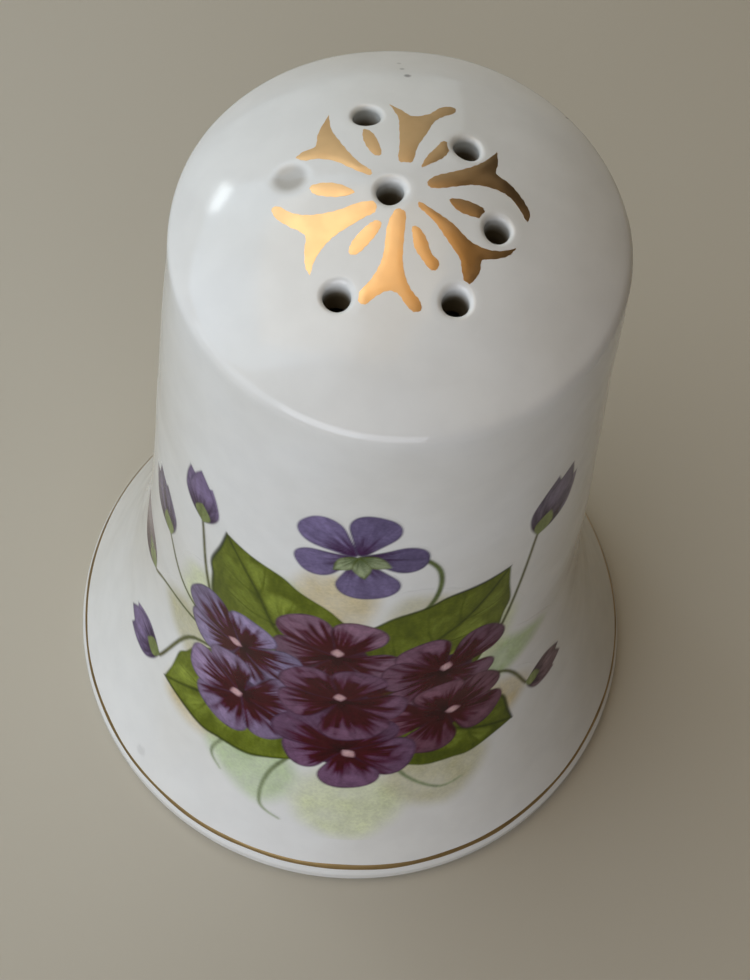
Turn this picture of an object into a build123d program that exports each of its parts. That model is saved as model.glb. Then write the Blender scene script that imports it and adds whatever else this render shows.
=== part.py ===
from build123d import *
import os
from math import cos, pi, sin, sqrt

# Thimble-shaped porcelain shaker: a flared, slip-cast body with a pierced crown, closed below by a tapered cork.
# The frame has its origin at the centre of the foot ring, on the surface that the shaker stands on, with +Z up
# through the crown. Sizes are millimetres. The fired-on gold is modelled as thin layers that lie on the glaze.

# Outside shape of the body
height = 68.0
foot_radius = 25.0
foot_edge_height = 2.0
foot_edge_round = 0.9
waist_height = 27.0
waist_radius = 17.35
shoulder_height = 62.9
shoulder_radius = 14.35
shoulder_round = 1.3

# Inside shape of the body
wall_thickness = 2.6
foot_ring_width = 3.4
floor_recess = 3.0
floor_thickness = 3.0
floor_round = 0.8
ceiling_round = 0.8

# Fill hole in the floor, and the cork that closes it
fill_hole_radius = 8.0
fill_hole_taper = 0.083
cork_clearance = 0.03
cork_bottom = 0.8
cork_length = 10.0
cork_edge = 0.5

# Shaker holes: one in the middle and six round it, pierced by hand, so that none is quite in line.
# The glaze ran into the hole on the left and closed it.
hole_radius = 0.8
hole_lip_round = 0.35
hole_places = {
    "middle": (-1.0, -0.5),
    "back_left": (-3.0, 5.3),
    "back_right": (3.25, 3.65),
    "right": (5.5, -1.7),
    "front_right": (3.6, -6.6),
    "front_left": (-3.25, -7.2),
}
closed_hole_place = (-7.05, 0.3)
closed_hole_radius = 0.95
closed_hole_depth = 0.6

# Fired-on gold: the line round the foot, and the sprig of forks and petals on the crown
gold_thickness = 0.05
foot_band_bottom = 2.4
foot_band_height = 0.5
sprig_place = (-0.2, -0.5)
fork_root = 1.9
fork_neck = 4.3
fork_crotch = 6.1
fork_reach = 7.2
fork_root_width = 0.85
fork_neck_width = 1.15
fork_tip_width = 0.3
fork_directions = {
    "back": (88, 14.5),
    "back_left": (145, 13),
    "front_left": (210, 18),
    "front": (270, 13),
    "front_right": (328, 14.5),
    "back_right": (20, 18),
}
petal_count = 6
petal_inner = 2.6
petal_outer = 5.1
petal_width = 0.9


def wall_direction():
    """Unit vector up the straight wall, as (radius, height)."""
    run = shoulder_radius - waist_radius
    rise = shoulder_height - waist_height
    length = sqrt(run * run + rise * rise)
    return run / length, rise / length


def flare_radius():
    """Radius of the hollow arc that leaves the straight wall at the waist and ends on the foot's edge."""
    along_r, along_z = wall_direction()
    to_foot_r = foot_radius - waist_radius
    to_foot_z = foot_edge_height - waist_height
    outward = to_foot_r * along_z - to_foot_z * along_r
    return (to_foot_r**2 + to_foot_z**2) / (2 * outward)


def flare_point(share):
    """A point on the flare, from the waist at share 0 to the foot's edge at share 1."""
    along_r, along_z = wall_direction()
    radius = flare_radius()
    centre_r = waist_radius + radius * along_z
    centre_z = waist_height - radius * along_r
    start = Vector(waist_radius - centre_r, waist_height - centre_z)
    end = Vector(foot_radius - centre_r, foot_edge_height - centre_z)
    arm = start.rotate(Axis.Z, share * start.get_angle(end))
    return centre_r + arm.X, centre_z + arm.Y


def crown_radius():
    """Radius of the sphere that the crown is part of."""
    drop = height - shoulder_height
    return (shoulder_radius**2 + drop**2) / (2 * drop)


def crown_height(radius):
    """Height of the crown at a distance from the axis."""
    sphere = crown_radius()
    return height - sphere + sqrt(sphere**2 - radius**2)


def sharp_outline():
    """Half of the body's outside outline, as a face in (radius, height), before its edges are rounded."""
    half_crown = shoulder_radius / 2
    curve = (
        Line((0, 0), (foot_radius, 0))
        + Line((foot_radius, 0), (foot_radius, foot_edge_height))
        + ThreePointArc((foot_radius, foot_edge_height), flare_point(0.5), flare_point(0))
        + Line((waist_radius, waist_height), (shoulder_radius, shoulder_height))
        + ThreePointArc((shoulder_radius, shoulder_height), (half_crown, crown_height(half_crown)), (0, height))
        + Line((0, height), (0, 0))
    )
    return make_face(curve)


def nearest_corner(face, radius, z):
    """The corner of a face that is nearest to a point."""
    return face.vertices().sort_by_distance((radius, z, 0))[0]


def body_outline():
    """Half of the body's outside outline, with its edges rounded."""
    face = sharp_outline()
    foot_corners = face.vertices().group_by(Axis.X)[-1]
    face = fillet(foot_corners, foot_edge_round)
    return fillet(nearest_corner(face, shoulder_radius, shoulder_height), shoulder_round)


def both_sides(half):
    """Half an outline, with its mirror image on the other side of the axis."""
    return half + mirror(half, about=Plane.YZ)


def chamber_outline():
    """Half of the chamber's outline: the outside outline set in by the wall, and cut off at the floor."""
    inside = offset(both_sides(sharp_outline()), amount=-wall_thickness)
    floor_top = floor_recess + floor_thickness
    above_floor = Pos(foot_radius / 2, floor_top + height / 2) * Rectangle(foot_radius, height)
    half = inside & above_floor
    corner = half.vertices().group_by(Axis.Y)[0].sort_by(Axis.X)[-1]
    half = fillet(corner, floor_round)
    ceiling = nearest_corner(half, shoulder_radius - wall_thickness, shoulder_height - wall_thickness)
    return fillet(ceiling, ceiling_round)


def turned(face):
    """The solid of revolution that a (radius, height) face makes about the Z axis."""
    return revolve(Plane.XZ * face, axis=Axis.Z)


def fill_hole_at(z):
    """Radius of the tapered fill hole at a height; it is widest at the floor's underside."""
    return fill_hole_radius - (z - floor_recess) * fill_hole_taper


def shaker_hole(place):
    """Cutter for one hole through the crown: a straight bore whose mouth is rounded over."""
    x, y = place
    mouth_radius = hole_radius + hole_lip_round
    top = crown_height(sqrt(x * x + y * y))
    bottom = top - 2 * wall_thickness
    lip_bottom = top - hole_lip_round
    lip_middle = (mouth_radius - hole_lip_round * cos(pi / 4), top - hole_lip_round * (1 - sin(pi / 4)))
    above = top + wall_thickness
    curve = (
        Line((0, bottom), (hole_radius, bottom))
        + Line((hole_radius, bottom), (hole_radius, lip_bottom))
        + ThreePointArc((hole_radius, lip_bottom), lip_middle, (mouth_radius, top))
        + Line((mouth_radius, top), (mouth_radius, above))
        + Line((mouth_radius, above), (0, above))
        + Line((0, above), (0, bottom))
    )
    return Pos(x, y, 0) * turned(make_face(curve))


def closed_hole():
    """Cutter for the hole that the glaze closed: a shallow round-bottomed dimple."""
    x, y = closed_hole_place
    top = crown_height(sqrt(x * x + y * y))
    sphere = (closed_hole_radius**2 + closed_hole_depth**2) / (2 * closed_hole_depth)
    return Pos(x, y, top - closed_hole_depth + sphere) * Sphere(sphere)


def shaker_body():
    """The glazed porcelain body: hollow, with a recessed floor on a foot ring."""
    recess_radius = foot_radius - foot_ring_width
    recess = Pos(0, 0, floor_recess / 2) * Cylinder(recess_radius, floor_recess)
    neck_low = floor_recess - floor_thickness / 2
    neck_high = floor_recess + 1.5 * floor_thickness
    neck = Cone(fill_hole_at(neck_low), fill_hole_at(neck_high), neck_high - neck_low)
    body = turned(body_outline()) - turned(chamber_outline())
    body -= fillet(recess.edges().group_by(Axis.Z)[-1], floor_round)
    body -= Pos(0, 0, (neck_low + neck_high) / 2) * neck
    for place in hole_places.values():
        body -= shaker_hole(place)
    return body - closed_hole()


def cork_stopper():
    """The tapered cork, a running fit in the fill hole, with the edges of both ends broken."""
    top = cork_bottom + cork_length
    low_radius = fill_hole_at(cork_bottom) - cork_clearance
    high_radius = fill_hole_at(top) - cork_clearance
    cork = Pos(0, 0, (cork_bottom + top) / 2) * Cone(low_radius, high_radius, cork_length)
    return chamfer(cork.edges().filter_by(GeomType.CIRCLE), cork_edge)


def gold_foot_band():
    """The gilded line round the foot: a thin ring that lies on the flare, above the rounded edge."""
    skin = offset(both_sides(body_outline()), amount=gold_thickness)
    middle = foot_band_bottom + foot_band_height / 2
    slab = Pos(foot_radius, middle) * Rectangle(foot_radius, foot_band_height)
    return turned(skin & slab) - turned(body_outline())


def fork_tine(spread):
    """The outer and inner edge of the fork's upper tine, for a fork that points along +X."""
    tip = Vector(fork_reach, 0).rotate(Axis.Z, spread)
    across = Vector(0, fork_tip_width / 2).rotate(Axis.Z, spread / 2)
    neck = (fork_neck, fork_neck_width / 2)
    outer = Spline((fork_root, fork_root_width / 2), neck, tip + across, tangents=((1, 0), (1, 1.2)))
    inner = Spline(tip - across, (fork_crotch, 0), tangents=((-1, -0.7), (-0.3, -1)))
    return outer, inner


def fork_outline(spread):
    """One Y-shaped arm of the sprig, pointing along +X: a stem that widens and splits into two curved tines."""
    outer, inner = fork_tine(spread)
    tine_end = Line(outer @ 1, inner @ 0)
    upper = outer + tine_end + inner
    root = Line((fork_root, -fork_root_width / 2), (fork_root, fork_root_width / 2))
    return make_face(upper + mirror(upper, about=Plane.XZ) + root)


def petal_outline():
    """One small pointed oval of the sprig, along +X."""
    middle = (petal_inner + petal_outer) / 2
    half = petal_width / 2
    left = ThreePointArc((petal_inner, 0), (middle, half), (petal_outer, 0))
    return make_face(left + mirror(left, about=Plane.XZ))


def gold_crown_sprig():
    """The gold forks with a petal between each two, as thin solids on the crown, open at the holes."""
    sphere = crown_radius()
    skin = Pos(0, 0, height - sphere) * (Sphere(sphere + gold_thickness) - Sphere(sphere))
    outlines = [Rot(0, 0, turn) * fork_outline(spread) for turn, spread in fork_directions.values()]
    for i in range(petal_count):
        outlines.append(Rot(0, 0, i * 360 / petal_count) * petal_outline())
    holes = [shaker_hole(place) for place in hole_places.values()]
    holes.append(closed_hole())
    x, y = sprig_place
    lift = Pos(x, y, height - wall_thickness)
    layer = []
    for outline in outlines:
        shape = skin & extrude(lift * outline, 2 * wall_thickness)
        for hole in holes:
            shape -= hole
        layer.extend(shape.solids())
    return Compound(layer)


parts = {
    "shaker_body": shaker_body,
    "cork_stopper": cork_stopper,
    "gold_foot_band": gold_foot_band,
    "gold_crown_sprig": gold_crown_sprig,
}
os.makedirs("parts", exist_ok=True)
for node, make in parts.items():
    export_step(make(), f"parts/{node}.step")
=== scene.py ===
import math

import bmesh
import bpy
import numpy as np
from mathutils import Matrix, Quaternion, Vector
from mathutils.geometry import delaunay_2d_cdt

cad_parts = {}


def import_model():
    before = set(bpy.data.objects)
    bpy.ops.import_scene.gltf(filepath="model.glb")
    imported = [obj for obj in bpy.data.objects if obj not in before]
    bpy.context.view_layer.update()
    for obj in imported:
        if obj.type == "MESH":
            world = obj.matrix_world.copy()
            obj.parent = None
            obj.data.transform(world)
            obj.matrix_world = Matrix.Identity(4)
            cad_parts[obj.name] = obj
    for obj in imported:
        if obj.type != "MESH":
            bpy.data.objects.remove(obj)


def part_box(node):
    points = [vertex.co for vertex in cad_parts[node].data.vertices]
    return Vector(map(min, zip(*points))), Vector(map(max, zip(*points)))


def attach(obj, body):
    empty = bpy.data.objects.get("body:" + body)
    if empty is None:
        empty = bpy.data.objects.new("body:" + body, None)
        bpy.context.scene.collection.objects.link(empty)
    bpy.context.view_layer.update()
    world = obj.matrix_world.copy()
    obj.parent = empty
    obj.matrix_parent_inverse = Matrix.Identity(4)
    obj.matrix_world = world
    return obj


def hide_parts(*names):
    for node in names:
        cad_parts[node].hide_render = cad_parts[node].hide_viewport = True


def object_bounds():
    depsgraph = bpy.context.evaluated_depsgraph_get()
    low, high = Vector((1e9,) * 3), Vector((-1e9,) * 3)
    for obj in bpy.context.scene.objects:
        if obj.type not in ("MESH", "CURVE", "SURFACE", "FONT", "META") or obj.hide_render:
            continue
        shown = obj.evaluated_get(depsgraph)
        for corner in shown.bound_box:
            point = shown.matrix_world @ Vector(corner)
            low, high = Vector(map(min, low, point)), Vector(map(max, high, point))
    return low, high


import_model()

# A thimble-shaped porcelain shaker, with a transfer of violets on its wall and fired-on gold on its crown
# and foot. Shapes are worked out in millimetres, with +Z up and -Y towards the camera, and scaled to metres
# when a mesh is made. A place on the outside of the wall is given by its azimuth, which is 0 at the front
# and grows to the right, and by "up", the length along the wall from the foot.

MM = 0.001
cad_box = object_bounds()

# Outside of the body
FOOT_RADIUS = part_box("shaker_body")[1].x / MM
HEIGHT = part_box("shaker_body")[1].z / MM
FOOT_EDGE_HEIGHT = 2.0
FOOT_EDGE_ROUND = 0.9
WAIST = (17.35, 27.0)
SHOULDER = (14.35, 62.9)
SHOULDER_ROUND = 1.3

# Inside of the body
WALL_THICKNESS = 2.6
RECESS_RADIUS = 21.6
FLOOR_BOTTOM = 3.0
FLOOR_TOP = 6.0
FLOOR_ROUND = 0.8
CEILING_ROUND = 0.8
FILL_HOLE_BOTTOM = 8.0
FILL_HOLE_TOP = 7.75
EDGE_ROUND = 0.4

# Holes in the crown
HOLE_RADIUS = 0.8
LIP_RADIUS = 1.2
LIP_DEPTH = 0.42
BEAD_RADIUS = 1.5
BEAD_WIDTH = 0.26
BEAD_HEIGHT = 0.012
HOLES = [(-1.0, -0.5), (-3.0, 5.3), (3.25, 3.65), (5.5, -1.7), (3.6, -6.6), (-3.25, -7.2)]
CLOSED_HOLE = (-7.05, 0.3)
CLOSED_DEPTH = 0.14
CLOSED_RADIUS = 0.95
PLUG_SHADE = 0.5

# How uneven the body is: the size of its warp, and how far the crown leans to the front for each millimetre
WARP = 0.035
CROWN_LEAN = 0.02

# The transfer: the part of the wall its sheet covers, across and up, and the two sides of its layer
TRANSFER_ACROSS = (-39, 26)
TRANSFER_UP = (7, 58)
TRANSFER_STEP = 0.125
TRANSFER_TOP = 0.012
TRANSFER_BOTTOM = 0.004
DEGREES_PER_MM = 3.0
# The thinnest paint that still gets a face
FAINTEST = 0.004
# The glaze gleams over the paint and makes it paler, so the paint is laid deeper by as much
GLEAM = 0.021

# The gold: how far it stays from a hole's middle, and how far its layer reaches into the glaze
GOLD_GAP = 1.22
GOLD_SUNK = 0.010
LINE_SUNK = 0.006

# The camera, in millimetres and degrees
CAMERA_PLACE = (0.0, -60.52, 149.54)
CAMERA_AIM = (0.55, 1.2, 25.0)
CAMERA_ROLL = 7.95
CAMERA_LENS = 62.45

# Fineness of the meshes
SEGMENTS = 288
HOLE_SEGMENTS = 48
CROWN_PATCH = 11.6
CEILING_PATCH = 10.2
SHARP_ANGLE = math.radians(40)


# ---------------- smooth random values and curves


def smooth(low, high, value):
    """0 below low, 1 above high, with a soft curve between."""
    t = np.clip((value - low) / (high - low), 0, 1)
    return t * t * (3 - 2 * t)


def mixed(first, second, share):
    """Colours between first at share 0 and second at share 1."""
    share = np.asarray(share)[..., None]
    return np.asarray(first) * (1 - share) + np.asarray(second) * share


def brushed(x, y, seed):
    """Smooth random values from -1 to 1, one bump for each unit of x and y."""
    lattice = np.random.default_rng(seed).uniform(-1, 1, (64, 64))
    column, row = np.floor(x), np.floor(y)
    along, up = smooth(0, 1, x - column), smooth(0, 1, y - row)
    left, right = column.astype(int) % 64, (column.astype(int) + 1) % 64
    low, high = row.astype(int) % 64, (row.astype(int) + 1) % 64
    below = lattice[low, left] * (1 - along) + lattice[low, right] * along
    above = lattice[high, left] * (1 - along) + lattice[high, right] * along
    return below * (1 - up) + above * up


def curve(points, closed, steps=8):
    """A smooth line through the points. A point given twice is a corner."""
    p = np.array(points, float)
    if closed:
        p = np.vstack([p[-1:], p, p[:2]])
    else:
        p = np.vstack([p[:1], p, p[-1:]])
    t = np.linspace(0, 1, steps, endpoint=False)[:, None]
    line = []
    for a, b, c, d in zip(p[:-3], p[1:-2], p[2:-1], p[3:]):
        if np.allclose(b, c):
            continue
        square, cube = 2 * a - 5 * b + 4 * c - d, 3 * b - a - 3 * c + d
        line.append(b + t * (c - a) / 2 + t**2 * square / 2 + t**3 * cube / 2)
    line = np.vstack(line)
    return line if closed else np.vstack([line, p[-1:]])


def nearest(line, x, y):
    """Distance from every point to the line, and where along it, from 0 to 1, the nearest spot is."""
    best = np.full(x.shape, np.inf)
    place = np.zeros(x.shape)
    for i, (a, b) in enumerate(zip(line[:-1], line[1:])):
        run = b - a
        share = np.clip(((x - a[0]) * run[0] + (y - a[1]) * run[1]) / max(run @ run, 1e-12), 0, 1)
        gap = np.hypot(x - a[0] - share * run[0], y - a[1] - share * run[1])
        closer = gap < best
        best = np.where(closer, gap, best)
        place = np.where(closer, (i + share) / (len(line) - 1), place)
    return best, place


def enclosed(line, x, y):
    """True where a point is inside the closed line."""
    inside = np.zeros(x.shape, bool)
    for a, b in zip(line, np.roll(line, -1, 0)):
        if a[1] == b[1]:
            continue
        crosses = (a[1] > y) != (b[1] > y)
        inside ^= crosses & (x < a[0] + (y - a[1]) / (b[1] - a[1]) * (b[0] - a[0]))
    return inside


# ---------------- the body's profile, as (radius, height)


def run(start, end, step=0.5):
    """Points on a straight line, without its first one."""
    count = max(1, round(math.dist(start, end) / step))
    share = np.linspace(0, 1, count + 1)[1:, None]
    return np.array(start) * (1 - share) + np.array(end) * share


def arc(centre, radius, start, end, step=0.4):
    """Points on an arc, without its first one. Angles are in radians."""
    count = max(4, round(abs(end - start) * radius / step))
    turn = np.linspace(start, end, count + 1)[1:]
    return np.stack([centre[0] + radius * np.cos(turn), centre[1] + radius * np.sin(turn)], -1)


def direction(start, end):
    """The angle of the line from start to end."""
    return math.atan2(end[1] - start[1], end[0] - start[0])


WALL_ANGLE = direction(WAIST, SHOULDER)
FACE_ANGLE = WALL_ANGLE - math.pi / 2

to_foot = np.array([FOOT_RADIUS - WAIST[0], FOOT_EDGE_HEIGHT - WAIST[1]])
outward = to_foot @ (math.cos(FACE_ANGLE), math.sin(FACE_ANGLE))
FLARE_RADIUS = to_foot @ to_foot / (2 * outward)
FLARE_CENTRE = (
    WAIST[0] + FLARE_RADIUS * math.cos(FACE_ANGLE),
    WAIST[1] + FLARE_RADIUS * math.sin(FACE_ANGLE),
)

crown_drop = HEIGHT - SHOULDER[1]
CROWN_RADIUS = (SHOULDER[0] ** 2 + crown_drop**2) / (2 * crown_drop)
CROWN_CENTRE = (0, HEIGHT - CROWN_RADIUS)


def round_centre(depth):
    """Centre of a round between the wall and the crown, at a depth under both."""
    low, high = 0.0, math.dist(WAIST, SHOULDER)
    for _ in range(40):
        middle = (low + high) / 2
        r = WAIST[0] + middle * math.cos(WALL_ANGLE) - depth * math.cos(FACE_ANGLE)
        z = WAIST[1] + middle * math.sin(WALL_ANGLE) - depth * math.sin(FACE_ANGLE)
        if math.dist((r, z), CROWN_CENTRE) > CROWN_RADIUS - depth:
            high = middle
        else:
            low = middle
    return r, z


def off(centre, radius, angle):
    """The point at a radius and an angle from a centre."""
    return centre[0] + radius * math.cos(angle), centre[1] + radius * math.sin(angle)


def wall_lines(inset):
    """The crown's edge, the shoulder and the straight wall, all set in by a distance."""
    bend = CEILING_ROUND if inset else SHOULDER_ROUND
    centre = round_centre(inset + bend)
    crown_angle = direction(CROWN_CENTRE, centre)
    sphere = CROWN_RADIUS - inset
    patch = CEILING_PATCH if inset else CROWN_PATCH
    first = math.acos(patch / sphere)
    start = off(CROWN_CENTRE, sphere, first)
    return np.vstack([
        [start],
        arc(CROWN_CENTRE, sphere, first, crown_angle),
        arc(centre, bend, crown_angle, FACE_ANGLE, 0.25),
        run(off(centre, bend, FACE_ANGLE), off(FLARE_CENTRE, FLARE_RADIUS + inset, FACE_ANGLE + math.pi)),
    ])


def outside_profile():
    """The outside, from the edge of the crown's patch down to the foot's lower corner."""
    corner_r = FOOT_RADIUS - FOOT_EDGE_ROUND
    reach = FLARE_RADIUS + FOOT_EDGE_ROUND
    corner = (corner_r, FLARE_CENTRE[1] - math.sqrt(reach**2 - (FLARE_CENTRE[0] - corner_r) ** 2))
    towards = direction(corner, FLARE_CENTRE)
    return np.vstack([
        wall_lines(0),
        arc(FLARE_CENTRE, FLARE_RADIUS, FACE_ANGLE + math.pi, towards + math.pi),
        arc(corner, FOOT_EDGE_ROUND, towards, 0, 0.15),
        run((FOOT_RADIUS, corner[1]), (FOOT_RADIUS, FOOT_EDGE_ROUND), 0.3),
        arc((corner_r, FOOT_EDGE_ROUND), FOOT_EDGE_ROUND, 0, -math.pi / 2, 0.15),
    ])


def inside_profile():
    """From the foot's lower corner under the floor, up through the fill hole and back up to the ceiling."""
    quarter = math.pi / 2
    ring = RECESS_RADIUS + EDGE_ROUND
    recess = RECESS_RADIUS - FLOOR_ROUND
    below = FILL_HOLE_BOTTOM + EDGE_ROUND
    above = FILL_HOLE_TOP + EDGE_ROUND
    reach = FLARE_RADIUS + WALL_THICKNESS + FLOOR_ROUND
    corner_z = FLOOR_TOP + FLOOR_ROUND
    corner = (FLARE_CENTRE[0] - math.sqrt(reach**2 - (FLARE_CENTRE[1] - corner_z) ** 2), corner_z)
    towards = direction(corner, FLARE_CENTRE)
    return np.vstack([
        run((FOOT_RADIUS - FOOT_EDGE_ROUND, 0), (ring, 0)),
        arc((ring, EDGE_ROUND), EDGE_ROUND, -quarter, -2 * quarter, 0.12),
        run((RECESS_RADIUS, EDGE_ROUND), (RECESS_RADIUS, FLOOR_BOTTOM - FLOOR_ROUND)),
        arc((recess, FLOOR_BOTTOM - FLOOR_ROUND), FLOOR_ROUND, 0, quarter, 0.2),
        run((recess, FLOOR_BOTTOM), (below, FLOOR_BOTTOM), 1.0),
        arc((below, FLOOR_BOTTOM + EDGE_ROUND), EDGE_ROUND, -quarter, -2 * quarter, 0.12),
        run((FILL_HOLE_BOTTOM, FLOOR_BOTTOM + EDGE_ROUND), (FILL_HOLE_TOP, FLOOR_TOP - EDGE_ROUND)),
        arc((above, FLOOR_TOP - EDGE_ROUND), EDGE_ROUND, 2 * quarter, quarter, 0.12),
        run((above, FLOOR_TOP), (corner[0], FLOOR_TOP), 1.0),
        arc(corner, FLOOR_ROUND, -quarter, towards, 0.2),
        arc(FLARE_CENTRE, FLARE_RADIUS + WALL_THICKNESS, towards + math.pi, FACE_ANGLE + math.pi, 1.0)[:-1],
        wall_lines(WALL_THICKNESS)[::-1],
    ])


OUTSIDE = outside_profile()
wall_r, wall_z = OUTSIDE[::-1].T
wall_up = np.r_[0, np.cumsum(np.hypot(np.diff(wall_r), np.diff(wall_z)))]


def on_wall(azimuth, up, lift):
    """Points on the outside of the wall, lifted off the glaze by a distance."""
    slope_r, slope_z = np.gradient(wall_r, wall_up), np.gradient(wall_z, wall_up)
    r = np.interp(up, wall_up, wall_r) + lift * np.interp(up, wall_up, slope_z)
    z = np.interp(up, wall_up, wall_z) - lift * np.interp(up, wall_up, slope_r)
    return np.stack([r * np.sin(azimuth), -r * np.cos(azimuth), z], -1)


def uneven(points):
    """The slight warp of a slip-cast body, whose crown leans a little to the front. The foot stays flat."""
    x, y, z = points.T
    warp = np.stack([
        np.sin(0.34 * y + 0.21 * z + 1.0) + 0.6 * np.sin(0.55 * z - 0.3 * y),
        np.sin(0.29 * x - 0.24 * z + 2.1) + 0.6 * np.sin(0.49 * z + 0.37 * x + 0.6),
        np.sin(0.43 * x + 0.3 * y + 0.7) + 0.5 * np.sin(0.61 * y - 0.4 * x),
    ], -1)
    lean = np.stack([0 * x, 0 * y, CROWN_LEAN * y * smooth(50, 62, z)], -1)
    return points + WARP * warp * smooth(0, 8, z)[:, None] + lean


# ---------------- the crown and its holes


def hole_wobble(turn, index):
    """How far the outline of a hole that was pierced by hand is from a circle."""
    return 1 + 0.035 * np.sin(2 * turn + 1.7 * index) + 0.02 * np.sin(3 * turn + 2.3 * index)


def hole_ring(index, radius):
    """A ring of points round a hole, at a radius from its centre."""
    turn = np.linspace(0, 2 * math.pi, HOLE_SEGMENTS, endpoint=False)
    reach = radius * hole_wobble(turn, index)
    return np.stack([HOLES[index][0] + reach * np.cos(turn), HOLES[index][1] + reach * np.sin(turn)], -1)


def lip_height(gap):
    """Height of the glaze round a hole, against the plain crown: a low bead, then a round fall."""
    share = np.clip((gap - HOLE_RADIUS) / (LIP_RADIUS - HOLE_RADIUS), 0, 1)
    fall = LIP_DEPTH * (1 - np.sqrt(1 - (1 - share) ** 2))
    return BEAD_HEIGHT * np.exp(-(((gap - BEAD_RADIUS) / BEAD_WIDTH) ** 2)) - fall


def crown_height(x, y):
    """Height of the crown, with the lips of its holes and the dimple of the hole that the glaze closed.

    Beyond the crown's sphere, where there is no crown, it is the height of the sphere's middle.
    """
    z = CROWN_CENTRE[1] + np.sqrt(np.maximum(CROWN_RADIUS**2 - x**2 - y**2, 0))
    for index, (hole_x, hole_y) in enumerate(HOLES):
        turn = np.arctan2(y - hole_y, x - hole_x)
        z = z + lip_height(np.hypot(x - hole_x, y - hole_y) / hole_wobble(turn, index))
    gap = np.hypot(x - CLOSED_HOLE[0], y - CLOSED_HOLE[1])
    return z - CLOSED_DEPTH * np.exp(-((gap / CLOSED_RADIUS) ** 3))


def ceiling_height(x, y):
    """Height of the chamber's ceiling under the crown."""
    return CROWN_CENTRE[1] + np.sqrt((CROWN_RADIUS - WALL_THICKNESS) ** 2 - x**2 - y**2)


def grid_in(radius, step):
    """Points of a triangular grid inside a circle."""
    across = np.arange(-radius, radius, step)
    rows = np.arange(-radius, radius, step * math.sqrt(3) / 2)
    x, y = np.meshgrid(across, rows)
    x[1::2] += step / 2
    points = np.stack([x.ravel(), y.ravel()], -1)
    return points[np.hypot(*points.T) < radius - 0.6 * step]


def triangulated(points, loops):
    """Triangles between points, with every loop of points kept as edges."""
    edges = []
    vectors = [Vector(p) for p in points]
    for loop in loops:
        first = len(vectors)
        vectors += [Vector(p) for p in loop]
        edges += [(first + i, first + (i + 1) % len(loop)) for i in range(len(loop))]
    found, _, triangles, *_ = delaunay_2d_cdt(vectors, edges, [], 0, 1e-5, False)
    return np.array([p[:] for p in found]), np.array(triangles)


def pierced_disc(radius, step, gaps, height, dimple_rings):
    """The points and triangles of a disc with its holes, at the heights that height() gives."""
    turn = np.linspace(0, 2 * math.pi, SEGMENTS, endpoint=False)
    border = radius * np.stack([np.sin(turn), -np.cos(turn)], -1)
    inner = grid_in(radius, step)
    for place in HOLES:
        inner = inner[np.hypot(*(inner - place).T) > gaps[-1] + 0.7 * step]
    loops = [border]
    for index in range(len(HOLES)):
        loops += [hole_ring(index, gap) for gap in gaps]
    for ring in dimple_rings:
        loops.append(CLOSED_HOLE + ring * np.stack([np.sin(turn[::8]), np.cos(turn[::8])], -1))
    flat, triangles = triangulated(inner, loops)
    middle = flat[triangles].mean(1)
    kept = np.ones(len(triangles), bool)
    for index in range(len(HOLES)):
        kept &= ~enclosed(hole_ring(index, gaps[0]), *middle.T)
    return np.column_stack([flat, height(*flat.T)]), triangles[kept]


# ---------------- meshes


class Patches:
    """Points and faces that are gathered patch by patch."""

    def __init__(self):
        self.points = []
        self.faces = []
        self.count = 0

    def add(self, points, faces):
        self.faces += [[i + self.count for i in face] for face in faces]
        self.points.append(points)
        self.count += len(points)


def strip_faces(rows, columns, closed=True):
    """Quads between the rows of a grid of points, closed round in its columns if asked."""
    last = columns if closed else columns - 1
    row, column = np.meshgrid(np.arange(rows - 1), np.arange(last), indexing="ij")
    row, column = row.ravel() * columns, column.ravel()
    after = (column + 1) % columns
    return np.stack([row + column, row + after, row + columns + after, row + columns + column], -1)


def turned(profile):
    """The points and quads of a profile turned round the Z axis."""
    turn = np.linspace(0, 2 * math.pi, SEGMENTS, endpoint=False)
    r, z = profile[:, :1], profile[:, 1:]
    points = np.stack([r * np.sin(turn), -r * np.cos(turn), z + 0 * turn], -1)
    return points.reshape(-1, 3), strip_faces(len(profile), SEGMENTS)


def shell(top, bottom, faces):
    """A thin closed layer: one sheet of faces twice, joined along the sheet's border."""
    faces = np.asarray(faces)
    size = faces.shape[1]
    sides = np.stack([faces, np.roll(faces, -1, 1)], -1).reshape(-1, 2)
    _, index, count = np.unique(np.sort(sides, 1), axis=0, return_index=True, return_counts=True)
    border = sides[index[count == 1]]
    rim = np.column_stack([border[:, 1], border[:, 0], border[:, 0] + len(top), border[:, 1] + len(top)])
    back = faces[:, ::-1] + len(top)
    return np.vstack([top, bottom]), faces.tolist() + back.tolist() + rim.tolist()


def piece(name, points, faces, look, body, nodes=(), weld=True):
    """Makes one piece of the object from points in millimetres, hangs it on its body and hides the CAD parts
    it replaces.
    """
    mesh = bpy.data.meshes.new(name)
    mesh.from_pydata((np.asarray(points) * MM).tolist(), [], faces)
    if weld:
        work = bmesh.new()
        work.from_mesh(mesh)
        bmesh.ops.remove_doubles(work, verts=work.verts, dist=1e-7)
        bmesh.ops.recalc_face_normals(work, faces=work.faces)
        work.to_mesh(mesh)
        work.free()
    mesh.shade_smooth()
    mesh.set_sharp_from_angle(angle=SHARP_ANGLE)
    mesh.materials.append(look)
    made = bpy.data.objects.new(name, mesh)
    bpy.context.scene.collection.objects.link(made)
    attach(made, body)
    if nodes:
        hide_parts(*nodes)
    return made


# ---------------- the painter of the transfer


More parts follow.
